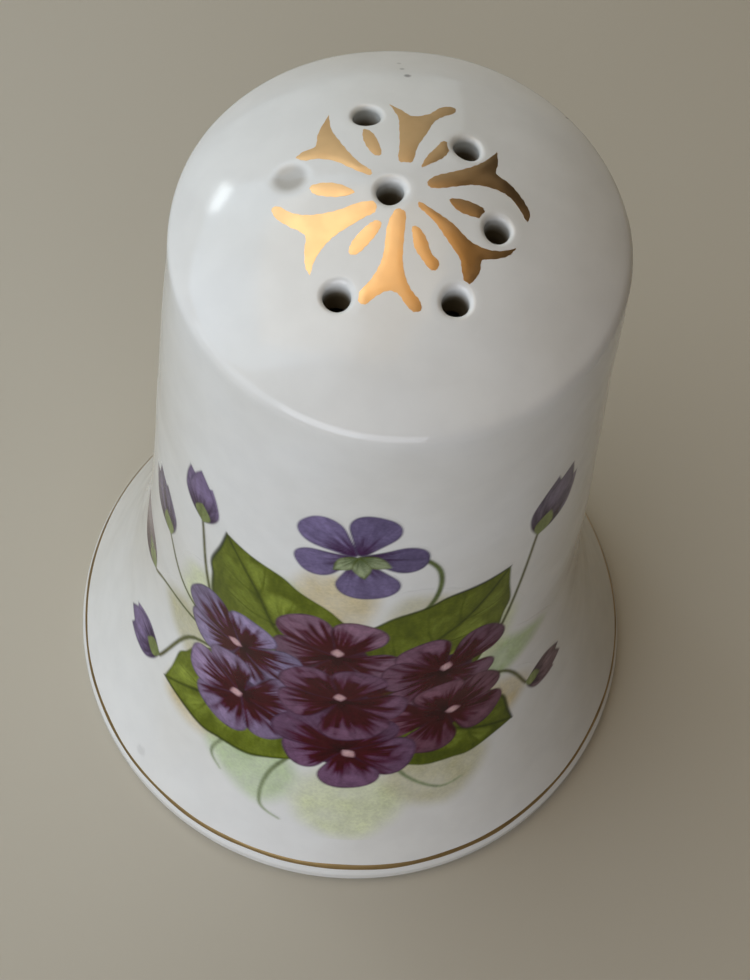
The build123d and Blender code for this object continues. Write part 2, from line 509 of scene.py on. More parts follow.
class Shape:
    """One outlined patch of the sheet: its window and points, their depth inside the outline, its cover."""

    def __init__(self, sheet, points, soft):
        line = curve(points, closed=True)
        self.window = sheet.window(line, soft + 0.3)
        self.x, self.y = sheet.x[self.window], sheet.y[self.window]
        gap, _ = nearest(np.vstack([line, line[:1]]), self.x, self.y)
        self.depth = np.where(enclosed(line, self.x, self.y), gap, -gap)
        self.cover = smooth(-soft, soft, self.depth)


class Sheet:
    """The paint on a grid of points, in millimetres across and up. Colour is stored times its cover."""

    def __init__(self, across, up):
        self.across, self.up = across, up
        self.x, self.y = np.meshgrid(across, up)
        self.colour = np.zeros(self.x.shape + (3,))
        self.cover = np.zeros(self.x.shape)

    def window(self, line, margin):
        """The slice of the grid that holds the line, with a margin."""
        low, high = line.min(0) - margin, line.max(0) + margin
        columns = slice(*np.searchsorted(self.across, (low[0], high[0])))
        return slice(*np.searchsorted(self.up, (low[1], high[1]))), columns

    def lay(self, window, cover, colour):
        """Lays a colour over what the window holds."""
        cover = cover[..., None]
        self.colour[window] = self.colour[window] * (1 - cover) + np.asarray(colour) * cover
        self.cover[window] = self.cover[window] * (1 - cover[..., 0]) + cover[..., 0]

    def dab(self, shape, place, size, turn, colour, strength=0.6):
        """A soft oval touch of colour inside a shape: its half length and half width, turned by degrees."""
        c, s = math.cos(math.radians(turn)), math.sin(math.radians(turn))
        x, y = shape.x - place[0], shape.y - place[1]
        far = np.hypot((x * c + y * s) / size[0], (y * c - x * s) / size[1])
        far = far + 0.12 * brushed(shape.x * 2.1, shape.y * 2.1, 5)
        self.lay(shape.window, shape.cover * strength * (1 - smooth(0.45, 1.25, far)), colour)

    def stroke(self, points, widths, colour, end_colour, soft, strength=1.0):
        """A brush line through points; its widths are spread evenly along it, and its colour changes."""
        line = curve(points, closed=False)
        window = self.window(line, max(widths) + soft)
        x, y = self.x[window], self.y[window]
        gap, place = nearest(line, x, y)
        half = np.interp(place, np.linspace(0, 1, len(widths)), widths) / 2
        cover = strength * (1 - smooth(-soft, soft, gap - half))
        fade = 1 + 0.14 * brushed(x * 1.4, y * 1.4, 9)
        self.lay(window, cover, mixed(colour, end_colour, place) * fade[..., None])

    def wash(self, points, colour, strength, soft, seed):
        """A thin cloudy patch of colour with a soft border."""
        shape = Shape(self, points, soft)
        wide = brushed(shape.x * 0.7, shape.y * 0.6, seed)
        fine = brushed(shape.x * 2.4, shape.y * 1.4, seed + 1)
        cloud = 0.86 + 0.18 * wide + 0.05 * fine
        self.lay(shape.window, np.clip(shape.cover * strength * cloud, 0, 1), colour)

    def petal(self, points, root, root_colour, tip_colour, reach, rim, soft, seed, streaks=0.16):
        """A petal painted from its root outwards, with streaks that fan out, and a rim if it has one."""
        shape = Shape(self, points, soft)
        x, y = shape.x - root[0], shape.y - root[1]
        far = np.hypot(x, y)
        length = far[shape.depth > 0].max()
        angle = np.arctan2(y, x)
        away = smooth(0.05, 0.45, far / length)
        fan = brushed(angle * 9 + 40, far * 0.45 + 7, seed) * away
        fine = brushed(angle * 24 + 80, far * 0.8 + 3, seed + 11) * away
        share = smooth(reach[0], reach[1], far / length + streaks * fan + 0.4 * streaks * fine)
        tone = 1 + 0.13 * fan + 0.09 * fine + 0.07 * brushed(shape.x * 1.7, shape.y * 1.7, seed + 2)
        colour = mixed(root_colour, tip_colour, share) * tone[..., None]
        if rim is not None:
            broken = 0.62 + 0.38 * brushed(shape.x * 1.1, shape.y * 1.1, seed + 5)
            rim_share = ((1 - smooth(0.02, 0.30, shape.depth)) * broken)[..., None]
            colour = colour * (1 - rim_share) + np.asarray(rim) * rim_share
        self.lay(shape.window, shape.cover, colour)
        return shape

    def leaf(self, points, colour, grain, seed, rim=None):
        """A leaf's patch, with brush marks that run up it."""
        shape = Shape(self, points, 0.12)
        marks = brushed(shape.x * grain[0], shape.y * grain[1], seed)
        fine = brushed(shape.x * grain[0] * 2.7, shape.y * grain[1] * 1.7, seed + 1)
        cloud = brushed(shape.x * 0.45, shape.y * 0.45, seed + 2)
        tone = 1 + 0.16 * marks + 0.09 * fine + 0.16 * cloud
        paint = np.asarray(colour) * tone[..., None]
        if rim is not None:
            share = (1 - smooth(0.0, 0.35, shape.depth)) * 0.7
            paint = paint * (1 - share[..., None]) + np.asarray(rim) * share[..., None]
        self.lay(shape.window, shape.cover, paint)


# ---------------- the violets

# Colours of the transfer, as linear light
MAROON = (0.075, 0.012, 0.024)
NIGHT = (0.036, 0.018, 0.036)
NODDING_DARK = (0.07, 0.035, 0.08)
NODDING_TIP = (0.18, 0.145, 0.26)
MIDDLE_TIP = (0.20, 0.105, 0.165)
BUD_TIPS = ((0.20, 0.15, 0.26), (0.17, 0.14, 0.20), (0.20, 0.13, 0.15))
EYE_ROOT = (0.62, 0.42, 0.42)
EYE_TIP = (0.58, 0.36, 0.36)
EYE_RIM = (0.34, 0.17, 0.2)
LEAF = (0.125, 0.150, 0.028)
LEAF_DARK = (0.080, 0.100, 0.016)
LEAF_RIM = (0.030, 0.036, 0.007)
STEM = (0.15, 0.185, 0.085)
STEM_BROWN = (0.12, 0.11, 0.05)
STEM_DARK = (0.12, 0.15, 0.05)
TENDRIL_TIP = (0.36, 0.41, 0.26)
SEPAL_ROOT = (0.13, 0.165, 0.08)
SEPAL_TIP = (0.31, 0.36, 0.21)
BUD_SEPAL = (0.22, 0.26, 0.10)
GREEN_WASH = (0.44, 0.56, 0.27)
YELLOW_WASH = (0.64, 0.68, 0.41)
OLIVE_WASH = (0.50, 0.47, 0.27)
TAN_WASH = (0.60, 0.49, 0.25)

# The spray: its middle and the nodding flower, in millimetres across and up the wall
SPRAY_MIDDLE = (0.0, 27.5)
NODDING_HEART = (0.0, 50.6)
HOOKED_STEM = ((2.0, 38.0), (6.4, 43.5), (6.8, 48.5), (3.6, 51.4), (0.2, 50.6))
# The ring of violets, from back to front: the direction from the middle, and the colour of the petals' tips.
# They go from lavender at the left to wine at the right.
RING = (
    (94, (0.22, 0.125, 0.175)),
    (154, (0.25, 0.20, 0.32)),
    (34, (0.19, 0.10, 0.145)),
    (214, (0.26, 0.19, 0.30)),
    (334, (0.17, 0.080, 0.110)),
    (274, (0.18, 0.10, 0.165)),
)
# Leaves behind the spray, as (direction, length, width, lightness)
LEAVES = ((52, 15.0, 13.0, 0.95), (122, 15.0, 13.4, 1.05), (216, 13.0, 12.6, 1.35), (326, 12.0, 10.6, 0.9))
# Tendrils below the spray, as (direction, reach)
TENDRILS = ((238, 17.5), (256, 18.5), (302, 17.0))
# Buds, as (side, distance from the middle line, height, length, direction in degrees)
BUDS = (
    (-1, 14.5, 44.5, 6.4, 96),
    (-1, 19.0, 36.0, 6.8, 118),
    (-1, 21.5, 25.5, 8.4, 150),
    (-1, 17.5, 17.0, 6.0, 196),
    (1, 16.0, 47.0, 7.4, 60),
    (1, 17.5, 20.5, 5.4, -20),
)
# A violet's petals as (direction in degrees, length, width): two upper, two side, and the broad lower one
PETALS = ((128, 1.0, 0.92), (62, 1.0, 0.92), (196, 0.95, 0.80), (-16, 0.95, 0.80), (270, 1.05, 1.15))
# Directions of the dark streaks on a violet's side petals and lower petal, in degrees
STREAKS = (186, 198, 208, 248, 259, 270, 281, 292, -28, -16, -6)
# How light each petal of the nodding violet is
NODDING_SHADES = (1.15, 0.85, 1.0, 0.75, 0.95)
# A bud's petals as (direction, length, width)
BUD_PETALS = ((16, 0.92, 0.55), (-15, 0.86, 0.5), (0, 1.0, 0.62))
# Half of a petal, of a bud and of a leaf, as (share of the length, share of the width)
PETAL_HALF = ((0.06, 0.08), (0.30, 0.26), (0.62, 0.48), (0.86, 0.44), (1.0, 0.20))
BUD_HALF = ((0.0, 0.0), (0.22, 0.32), (0.50, 0.46), (0.78, 0.28), (1.0, 0.0))
LEAF_HALF = (
    (0.0, 0.0), (-0.12, 0.20), (-0.06, 0.40), (0.14, 0.52), (0.34, 0.49),
    (0.46, 0.46), (0.62, 0.36), (0.74, 0.30), (0.88, 0.13), (1.0, 0.0),
)
# Where a leaf's side veins leave its fold, and how far they reach, as shares of its length and width
VEINS = ((0.06, 0.30), (0.32, 0.26), (0.55, 0.18))


def shaded(colour, share):
    """The colour with its light scaled."""
    return tuple(share * part for part in colour)


def placed(point, root, size, turn, spread=1.0):
    """A point given along and across a shape, put on the sheet: spread widens the shape across the sheet."""
    c, s = math.cos(math.radians(turn)), math.sin(math.radians(turn))
    along, across = point[0] * size[0], point[1] * size[1]
    return root[0] + spread * (along * c - across * s), root[1] + along * s + across * c


def outline(half, root, size, turn, spread=1.0, pointed=False):
    """Both halves of a shape as one closed line, with a corner at its tip if it is pointed."""
    tip = [half[-1]] if pointed else []
    points = [*half, *tip, *((along, -across) for along, across in half[::-1])]
    return [placed(point, root, size, turn, spread) for point in points]


def around(angle, reach, rise=1.0):
    """A point of an oval round the middle of the spray."""
    turn = math.radians(angle)
    return SPRAY_MIDDLE[0] + reach * math.cos(turn), SPRAY_MIDDLE[1] + rise * reach * math.sin(turn)


def violet(sheet, heart, size, turn, tip, dark_reach, seed):
    """A violet that faces the viewer: five petals, dark streaks from its heart, and a pale eye."""
    vary = np.random.default_rng(seed)
    back = [placed((-0.45, 0), heart, (size, size), turn + angle) for angle in range(0, 360, 60)]
    sheet.petal(back, heart, MAROON, shaded(tip, 0.4), (0.3, 1.0), None, 0.14, seed + 7)
    for index, (angle, length, width) in enumerate(PETALS):
        whole = size * length * vary.uniform(0.9, 1.1), size * width * vary.uniform(0.9, 1.1)
        line = outline(PETAL_HALF, heart, whole, turn + angle + vary.uniform(-9, 9))
        colour = shaded(tip, vary.uniform(0.75, 1.2))
        reach = (dark_reach, dark_reach + 0.45)
        petal = sheet.petal(line, heart, MAROON, colour, reach, shaded(tip, 0.35), 0.12, seed + index, 0.26)
        glow = placed((0.78, vary.uniform(-0.2, 0.2)), heart, whole, turn + angle)
        sheet.dab(petal, glow, (0.16 * size, 0.09 * size), turn + angle + 60, shaded(colour, 1.4))
    for angle in STREAKS:
        end = placed((vary.uniform(0.40, 0.58), 0), heart, (size, size), turn + angle)
        sheet.stroke([heart, end], (0.10 * size, 0.02), shaded(MAROON, 0.55), MAROON, 0.08, 0.8)
    eye = outline(BUD_HALF, heart, (0.24 * size, 0.2 * size), turn + 90)
    sheet.petal(eye, heart, EYE_ROOT, EYE_TIP, (0.2, 0.9), EYE_RIM, 0.12, seed + 9)


def nodding_violet(sheet, heart, size, turn, tip, seed):
    """A nodding violet, seen from behind: its petals, then three green sepals over their roots."""
    for index, (angle, length, width) in enumerate(PETALS):
        line = outline(PETAL_HALF, heart, (size * length, 0.8 * size * width), turn + angle, 1.1)
        colour = shaded(tip, NODDING_SHADES[index])
        rim = shaded(colour, 0.6)
        sheet.petal(line, heart, NODDING_DARK, colour, (0.1, 0.6), rim, 0.13, seed + index)
    for angle in (215, 325, 270):
        line = outline(BUD_HALF, heart, (0.55 * size, 0.32 * size), turn + angle, pointed=True)
        sheet.petal(line, heart, SEPAL_ROOT, SEPAL_TIP, (0.1, 0.7), LEAF_DARK, 0.12, seed + angle)


def bud(sheet, root, size, turn, colour, seed):
    """A closed bud: three furled petals, the middle one in front."""
    for index, (angle, length, width) in enumerate(BUD_PETALS):
        whole = (size * length, size * width)
        line = outline(BUD_HALF, root, whole, turn + angle, pointed=True)
        tip = shaded(colour, 1 - 0.012 * angle)
        petal = sheet.petal(line, root, NIGHT, tip, (0.1, 0.7), shaded(colour, 0.5), 0.14, seed + index)
        glow = placed((0.6, 0.15), root, whole, turn + angle)
        sheet.dab(petal, glow, (0.2 * size, 0.05 * size), turn + angle, shaded(colour, 1.5))


def heart_leaf(sheet, root, size, turn, colour, seed):
    """A heart-shaped leaf with a fold down its middle, side veins, and pale swellings between them."""

    def line_of(points, side=1):
        return [placed((along, side * across), root, size, turn) for along, across in points]

    sheet.leaf(outline(LEAF_HALF, root, size, turn, pointed=True), colour, (1.6, 0.6), seed, LEAF_DARK)
    for side in (1, -1):
        for start, reach in VEINS:
            base = ((0, 0.05), (0.04, 0.6 * reach), (0.16, reach), (0.25, 0.8 * reach), (0.24, 0.06))
            swell = line_of([(start + along, across) for along, across in base], side)
            pale = shaded(colour, 1.5 - 0.2 * side)
            sheet.petal(swell, swell[0], shaded(colour, 1.25), pale, (0.1, 0.9), None, 0.45, seed + 3, 0.3)
            vein = line_of(((start, 0), (start + 0.10, 0.6 * reach), (start + 0.24, 1.15 * reach)), side)
            sheet.stroke(vein, (0.26, 0.2, 0.06), LEAF_DARK, shaded(colour, 0.8), 0.14, 0.75)
    fold = line_of(((0.02, 0), (0.3, 0.02), (0.6, -0.02), (0.97, 0)))
    sheet.stroke(fold, (0.5, 0.4, 0.3, 0.2), LEAF_DARK, LEAF_RIM, 0.2, 0.85)
    sheet.stroke(line_of(LEAF_HALF[3:]), (0.06, 0.3, 0.36, 0.3, 0.34, 0.2), LEAF_DARK, LEAF_RIM, 0.12, 0.85)


def washes(sheet):
    """Soft clouds of green, yellow and tan, spaced evenly round the spray."""
    vary = np.random.default_rng(31)
    for index, angle in enumerate(range(5, 365, 30)):
        middle = around(angle, 14.5, 1.05)
        points = [(middle[0] + reach * math.cos(step), middle[1] + reach * math.sin(step))
                  for step, reach in enumerate(vary.uniform(3.0, 5.4, 6))]
        colour = (GREEN_WASH, YELLOW_WASH, OLIVE_WASH, TAN_WASH)[index % 4]
        sheet.wash(points, colour, 0.85, 1.1, 33 + 2 * index)


def side_buds(sheet):
    """Buds on thin stems that arch out of the spray to both sides."""
    start_across, start_up = 6.0, 29.0
    for index, (side, reach, height, size, turn) in enumerate(BUDS):
        root = (side * reach, height)
        bend_across = start_across + 0.72 * (reach - start_across)
        bend_up = start_up + 0.30 * (height - start_up)
        stem = [(side * start_across, start_up), (side * bend_across, bend_up), root]
        sheet.stroke(stem, (0.45, 0.42, 0.34), STEM, STEM_BROWN, 0.15)
        bud(sheet, root, size, turn, BUD_TIPS[index % 3], 85 + 3 * index)
        sepal = outline(BUD_HALF, root, (0.36 * size, 0.34 * size), turn, pointed=True)
        sheet.leaf(sepal, BUD_SEPAL, (2.2, 0.5), 84 + index)


def painted(sheet):
    """The whole transfer, from back to front: an even spray of violets with leaves fanned behind it."""
    washes(sheet)
    side_buds(sheet)
    for angle, reach in TENDRILS:
        steps = ((0, 8), (-6, 0.75 * reach), (-2, reach), (4, reach + 1))
        line = [around(angle + aside, out) for aside, out in steps]
        sheet.stroke(line, (0.44, 0.38, 0.30, 0.16), STEM, TENDRIL_TIP, 0.15)
    sheet.stroke(HOOKED_STEM, (0.42, 0.5, 0.5, 0.4), STEM, STEM_DARK, 0.15)
    nodding_violet(sheet, NODDING_HEART, 5.4, 14, NODDING_TIP, 83)
    for index, (angle, length, width, light) in enumerate(LEAVES):
        heart_leaf(sheet, around(angle, 7.0), (length, width), angle, shaded(LEAF, light), 63 + 2 * index)
    shadow = [around(angle, 9.0, 0.76) for angle in range(0, 360, 45)]
    sheet.petal(shadow, SPRAY_MIDDLE, MAROON, LEAF_DARK, (0.4, 0.9), None, 0.3, 61)
    for index, (angle, tip) in enumerate(RING):
        turn = angle - 90 + 20 * (index % 3)
        violet(sheet, around(angle, 10.2, 0.76), 5.9, turn, tip, 0.42, 201 + 10 * index)
    violet(sheet, SPRAY_MIDDLE, 5.6, 12, MIDDLE_TIP, 0.5, 271)


# ---------------- materials


class Look:
    """A material that is built node by node. Its patterns are measured in millimetres."""

    def __init__(self, name):
        self.material = bpy.data.materials.new(name)
        self.material.use_nodes = True
        self.tree = self.material.node_tree
        self.tree.nodes.clear()
        self.shader = self.add("ShaderNodeBsdfPrincipled")
        output = self.add("ShaderNodeOutputMaterial")
        self.tree.links.new(self.shader.outputs[0], output.inputs[0])
        self.place = self.maths("SCALE", self.add("ShaderNodeTexCoord").outputs["Object"], Scale=1 / MM)

    def add(self, kind, options=None, **inputs):
        """A node with its options and inputs set. An input is a socket to link or a plain value."""
        made = self.tree.nodes.new(kind)
        for key, value in (options or {}).items():
            setattr(made, key, value)
        for key, value in inputs.items():
            self.feed(made.inputs[int(key[1:]) if key[0] == "_" else key], value)
        return made

    def feed(self, socket, value):
        """Links a socket to another, or sets its value."""
        if isinstance(value, bpy.types.NodeSocket):
            self.tree.links.new(value, socket)
        else:
            socket.default_value = value

    def set(self, **inputs):
        """Sets inputs of the shader; an underscore stands for a space."""
        for key, value in inputs.items():
            self.feed(self.shader.inputs[key.replace("_", " ")], value)

    def maths(self, operation, first, second=None, **named):
        """One step of vector arithmetic."""
        inputs = {"_0": first} if second is None else {"_0": first, "_1": second}
        made = self.add("ShaderNodeVectorMath", {"operation": operation}, **inputs, **named)
        return made.outputs["Value" if operation in ("DISTANCE", "LENGTH") else "Vector"]

    def sum(self, operation, first, second):
        """One step of arithmetic with plain numbers."""
        return self.add("ShaderNodeMath", {"operation": operation}, _0=first, _1=second).outputs[0]

    def noise(self, size, detail=3.0, stretch=(1, 1, 1), seed=0.0):
        """Cloudy values round 0.5 with bumps of about a size in millimetres."""
        place = self.maths("MULTIPLY", self.place, stretch)
        place = self.maths("ADD", place, (seed, seed, seed))
        return self.add("ShaderNodeTexNoise", Vector=place, Scale=1 / size, Detail=detail).outputs["Fac"]

    def cells(self, size, output="Distance", feature="F1"):
        """Cells of about a size in millimetres: distance to their middles or borders, or their colour."""
        made = self.add("ShaderNodeTexVoronoi", {"feature": feature}, Vector=self.place, Scale=1 / size)
        return made.outputs[output]

    def spread(self, value, low, high, first=0.0, last=1.0):
        """Moves a range of values to another, with soft ends."""
        ends = {"From Min": low, "From Max": high, "To Min": first, "To Max": last}
        soft = {"interpolation_type": "SMOOTHSTEP"}
        return self.add("ShaderNodeMapRange", soft, Value=value, **ends).outputs[0]

    def mix(self, share, first, second):
        """Colours between two."""
        colours = [c if isinstance(c, bpy.types.NodeSocket) else (*c, 1) for c in (first, second)]
        made = self.add("ShaderNodeMix", {"data_type": "RGBA"}, _0=share, _6=colours[0], _7=colours[1])
        return made.outputs[2]

    def bump(self, height, depth, below=None):
        """A bump whose height is given from 0 to 1, for a depth in millimetres."""
        inputs = {"Height": height, "Distance": depth * MM, "Strength": 1.0}
        if below is not None:
            inputs["Normal"] = below
        return self.add("ShaderNodeBump", **inputs).outputs[0]


GLAZE = (0.80, 0.80, 0.775)
GLAZE_THIN = (0.755, 0.745, 0.70)
BISQUE = (0.70, 0.66, 0.58)
SPECK = (0.10, 0.09, 0.08)
# Brown of the painted shade deep in the holes and in the chamber under the crown; it also greys the closed
# hole's plug
HOLE_SHADE_AND_PLUG_COLOUR = (0.16, 0.115, 0.055)

# Marks in the glaze, each with a radius and a strength. Their places are (x, y) on the crown, and
# (azimuth in degrees, up) on the wall.
CROWN_MARKS = [
    ((-0.95, 9.85), 0.20, 0.65),
    ((-1.35, 10.7), 0.14, 0.35),
    ((-1.6, 11.5), 0.13, 0.3),
    ((9.5, 10.2), 0.12, 0.5),
]
WALL_MARKS = [
    ((-45, 5.0), 0.5, 0.15),
    ((-124, 24.0), 0.16, 0.5),
    ((170, 7.5), 0.2, 0.45),
    ((112, 41.0), 0.12, 0.5),
]


def marks():
    """The place, radius and strength of every mark in the glaze."""
    found = []
    for (x, y), radius, strength in CROWN_MARKS:
        found.append((uneven(np.array([[x, y, crown_height(x, y)]]))[0], radius, strength))
    for (azimuth, up), radius, strength in WALL_MARKS:
        found.append((uneven(on_wall(np.radians([azimuth]), np.array([up]), 0))[0], radius, strength))
    return found


def glazed(name, painted=False):
    """White glaze, a little uneven in colour and gloss, bare on the foot ring, with painted shade deep in
    the holes; painted adds the transfer.
    """
    look = Look(name)
    thin = look.spread(look.noise(17, 2.0), 0.38, 0.68)
    colour = look.mix(thin, GLAZE, GLAZE_THIN)
    cloud = look.spread(look.noise(2.6, 4.0, seed=7.0), 0.3, 0.7, 0.975, 1.015)
    colour = look.maths("SCALE", colour, Scale=cloud)
    pins = look.spread(look.cells(3.4), 0.012, 0.03, 1.0, 0.0)
    rare = look.spread(look.noise(5.0, 0.0, seed=31.0), 0.60, 0.64)
    colour = look.mix(look.sum("MULTIPLY", pins, look.sum("MULTIPLY", rare, 0.55)), colour, SPECK)
    for place, radius, strength in marks():
        gap = look.maths("DISTANCE", look.place, tuple(place))
        gap = look.sum("ADD", gap, look.sum("MULTIPLY", look.noise(0.35), radius))
        colour = look.mix(look.spread(gap, radius, 2 * radius, strength, 0.0), colour, SPECK)
    height = look.add("ShaderNodeSeparateXYZ", Vector=look.place).outputs["Z"]
    bare = look.spread(look.sum("ADD", height, look.noise(0.7)), 0.45, 0.75, 1.0, 0.0)
    grain = look.spread(look.noise(0.5, 4.0, seed=3.0), 0.3, 0.7, 0.86, 1.04)
    colour = look.mix(bare, colour, look.maths("SCALE", BISQUE, Scale=grain))
    # Painted shade: darker and browner deep in the holes and in the chamber under the crown; the same
    # attribute greys the glaze over the closed hole's plug
    hole_shade_and_plug = look.add("ShaderNodeAttribute", {"attribute_name": "hole_shade_and_plug"}).outputs["Fac"]
    colour = look.mix(look.sum("MULTIPLY", hole_shade_and_plug, 0.93), colour, HOLE_SHADE_AND_PLUG_COLOUR)
    gloss = look.spread(look.noise(6.0, 3.0, seed=11.0), 0.35, 0.7, 0.07, 0.16)
    gloss = look.sum("ADD", gloss, look.sum("MULTIPLY", bare, 0.5))
    relief = look.bump(look.noise(3.2, 1.0, seed=5.0), 0.03)
    relief = look.bump(look.noise(0.45, 3.0, seed=9.0), 0.0025, relief)
    if painted:
        paint = look.add("ShaderNodeAttribute", {"attribute_name": "paint"})
        cover = paint.outputs["Alpha"]
        stipple = look.spread(look.noise(0.28, 3.0, seed=13.0), 0.28, 0.72, 0.90, 1.10)
        wash = look.spread(look.noise(1.1, 4.0, (1, 1, 0.5), 17.0), 0.3, 0.7, 0.92, 1.08)
        tone = look.sum("MULTIPLY", stipple, wash)
        left = look.sum("SUBTRACT", 1.0, cover)
        colour = look.maths("ADD", look.maths("SCALE", colour, Scale=left),
                            look.maths("SCALE", paint.outputs["Color"], Scale=tone))
        rough = look.spread(stipple, 0.9, 1.1, 0.04, 0.10)
        gloss = look.sum("ADD", gloss, look.sum("MULTIPLY", cover, rough))
        relief = look.bump(look.sum("MULTIPLY", cover, stipple), 0.004, relief)
        look.set(Specular_IOR_Level=look.spread(cover, 0.0, 1.0, 0.5, 0.07))
    look.set(Base_Color=colour, Roughness=gloss, IOR=1.52, Normal=relief)
    return look.material


def gilded(name, bright, dull, wear):
    """Fired-on gold, rubbed unevenly: wear is the share of it that is dull."""
    look = Look(name)
    rubbed = look.spread(look.noise(3.0, 3.0, seed=21.0), 0.62 - 0.2 * wear, 0.95 - 0.2 * wear)
    colour = look.mix(look.noise(0.8, 3.0), bright, tuple(0.93 * c for c in bright))
    colour = look.mix(look.sum("MULTIPLY", rubbed, 0.55), colour, dull)
    gaps = look.spread(look.noise(0.22, 2.0, seed=43.0), 0.76 - 0.08 * wear, 0.86 - 0.08 * wear)
    colour = look.mix(look.sum("MULTIPLY", gaps, 0.6), colour, (0.42, 0.36, 0.28))
    gloss = look.spread(look.noise(1.1, 3.0, seed=23.0), 0.3, 0.7, 0.33, 0.42)
    gloss = look.sum("ADD", gloss, look.sum("MULTIPLY", rubbed, 0.10))
    relief = look.bump(look.noise(1.4, 2.0, seed=25.0), 0.005)
    relief = look.bump(look.noise(0.14, 2.0, seed=27.0), 0.001, relief)
    metal = look.spread(gaps, 0.0, 1.0, 1.0, 0.6)
    look.set(Base_Color=colour, Metallic=metal, Roughness=gloss, Normal=relief)
    return look.material


def corky():
    """Natural cork: packed grains, dark pores and darker streaks."""
    look = Look("natural_cork")
    tone = look.cells(1.1, "Color")
    tone = look.add("ShaderNodeSeparateXYZ", Vector=tone).outputs["X"]
    colour = look.mix(tone, (0.46, 0.29, 0.155), (0.60, 0.41, 0.235))
    streak = look.spread(look.noise(1.0, 5.0, (1, 1, 0.25), 3.0), 0.55, 0.72)
    colour = look.mix(look.sum("MULTIPLY", streak, 0.6), colour, (0.27, 0.15, 0.07))
    border = look.cells(1.1, feature="DISTANCE_TO_EDGE")
    colour = look.mix(look.spread(border, 0.0, 0.08, 0.45, 0.0), colour, (0.22, 0.12, 0.06))
    pores = look.spread(look.noise(0.7, 3.0, seed=19.0), 0.64, 0.70)
    colour = look.mix(pores, colour, (0.10, 0.055, 0.03))
    relief = look.bump(look.sum("SUBTRACT", look.spread(border, 0.0, 0.1), pores), 0.07)
    look.set(Base_Color=colour, Roughness=look.spread(tone, 0.0, 1.0, 0.72, 0.88), Normal=relief)
    return look.material


# ---------------- the pieces


def porcelain_body(look):
    """The body: all but the crown is turned, and the crown is a disc that is closed round its holes."""
    gathered = Patches()
    gathered.add(*turned(np.vstack([OUTSIDE, inside_profile()])))
    shares = np.array([0, 0.012, 0.05, 0.12, 0.22, 0.35, 0.5, 0.68, 0.86, 1])
    gaps = [*(HOLE_RADIUS + (LIP_RADIUS - HOLE_RADIUS) * shares), 1.38, 1.48, 1.6, 1.75, 1.95]
    dimple = np.arange(0.12, 1.9, 0.14)
    gathered.add(*pierced_disc(CROWN_PATCH, 0.3, gaps, crown_height, dimple))
    points, faces = pierced_disc(CEILING_PATCH, 0.9, [HOLE_RADIUS, 1.1], ceiling_height, [])
    gathered.add(points, faces)
    for index in range(len(HOLES)):
        ring = hole_ring(index, HOLE_RADIUS)
        top, bottom = crown_height(*ring.T), ceiling_height(*ring.T)
        levels = [top * (1 - share) + bottom * share for share in np.linspace(0, 1, 7)]
        rows = [np.column_stack([ring, level]) for level in levels]
        gathered.add(np.vstack(rows), strip_faces(len(rows), HOLE_SEGMENTS))
    points = uneven(np.vstack(gathered.points))
    made = piece("porcelain_body", points, gathered.faces, look, "shaker", ["shaker_body"])
    # Painted shade deep in the holes and in the chamber under the crown, and the grey of the closed hole's
    # plug, kept on the points
    x, y, z = (np.array([v.co[:] for v in made.data.vertices]) / MM).T
    depth = crown_height(x, y) - z
    deep = smooth(0.2, 1.2, depth) * (np.hypot(x, y) < CROWN_PATCH) * (z > FLOOR_TOP + 1)
    gap = np.hypot(x - CLOSED_HOLE[0], y - CLOSED_HOLE[1])
    plug = PLUG_SHADE * (1 - smooth(0.7 * CLOSED_RADIUS, 1.3 * CLOSED_RADIUS, gap)) * (depth < 1)
    hole_shade_and_plug = made.data.attributes.new("hole_shade_and_plug", "FLOAT", "POINT")
    hole_shade_and_plug.data.foreach_set("value", np.maximum(deep, plug).astype(np.float32))
    return made


def violet_transfer(look):
    """The painted transfer: a thin layer on the wall that ends a little outside the paint."""
    across = np.arange(*TRANSFER_ACROSS, TRANSFER_STEP)
    up = np.arange(*TRANSFER_UP, TRANSFER_STEP)
    sheet = Sheet(across, up)
    painted(sheet)
    drawn = sheet.cover > FAINTEST
    corners = drawn[:-1, :-1] | drawn[:-1, 1:] | drawn[1:, :-1] | drawn[1:, 1:]
    faces = strip_faces(len(up), len(across), closed=False)[corners.ravel()]
    used, faces = np.unique(faces, return_inverse=True)
    faces = faces.reshape(-1, 4)
    azimuth = np.radians(DEGREES_PER_MM * sheet.x.ravel()[used])
    height = sheet.y.ravel()[used]
    layers = [uneven(on_wall(azimuth, height, lift)) for lift in (TRANSFER_TOP, TRANSFER_BOTTOM)]
    points, all_faces = shell(*layers, faces)
    made = piece("violet_transfer", points, all_faces, look, "shaker", weld=False)
    paint = made.data.attributes.new("paint", "FLOAT_COLOR", "POINT")
    cover = sheet.cover.reshape(-1, 1)[used]
    colour = sheet.colour.reshape(-1, 3)[used]
    values = np.column_stack([np.maximum(colour - GLEAM * cover, 0.25 * colour), cover])
    paint.data.foreach_set("color", np.vstack([values, values]).astype(np.float32).ravel())
    return made


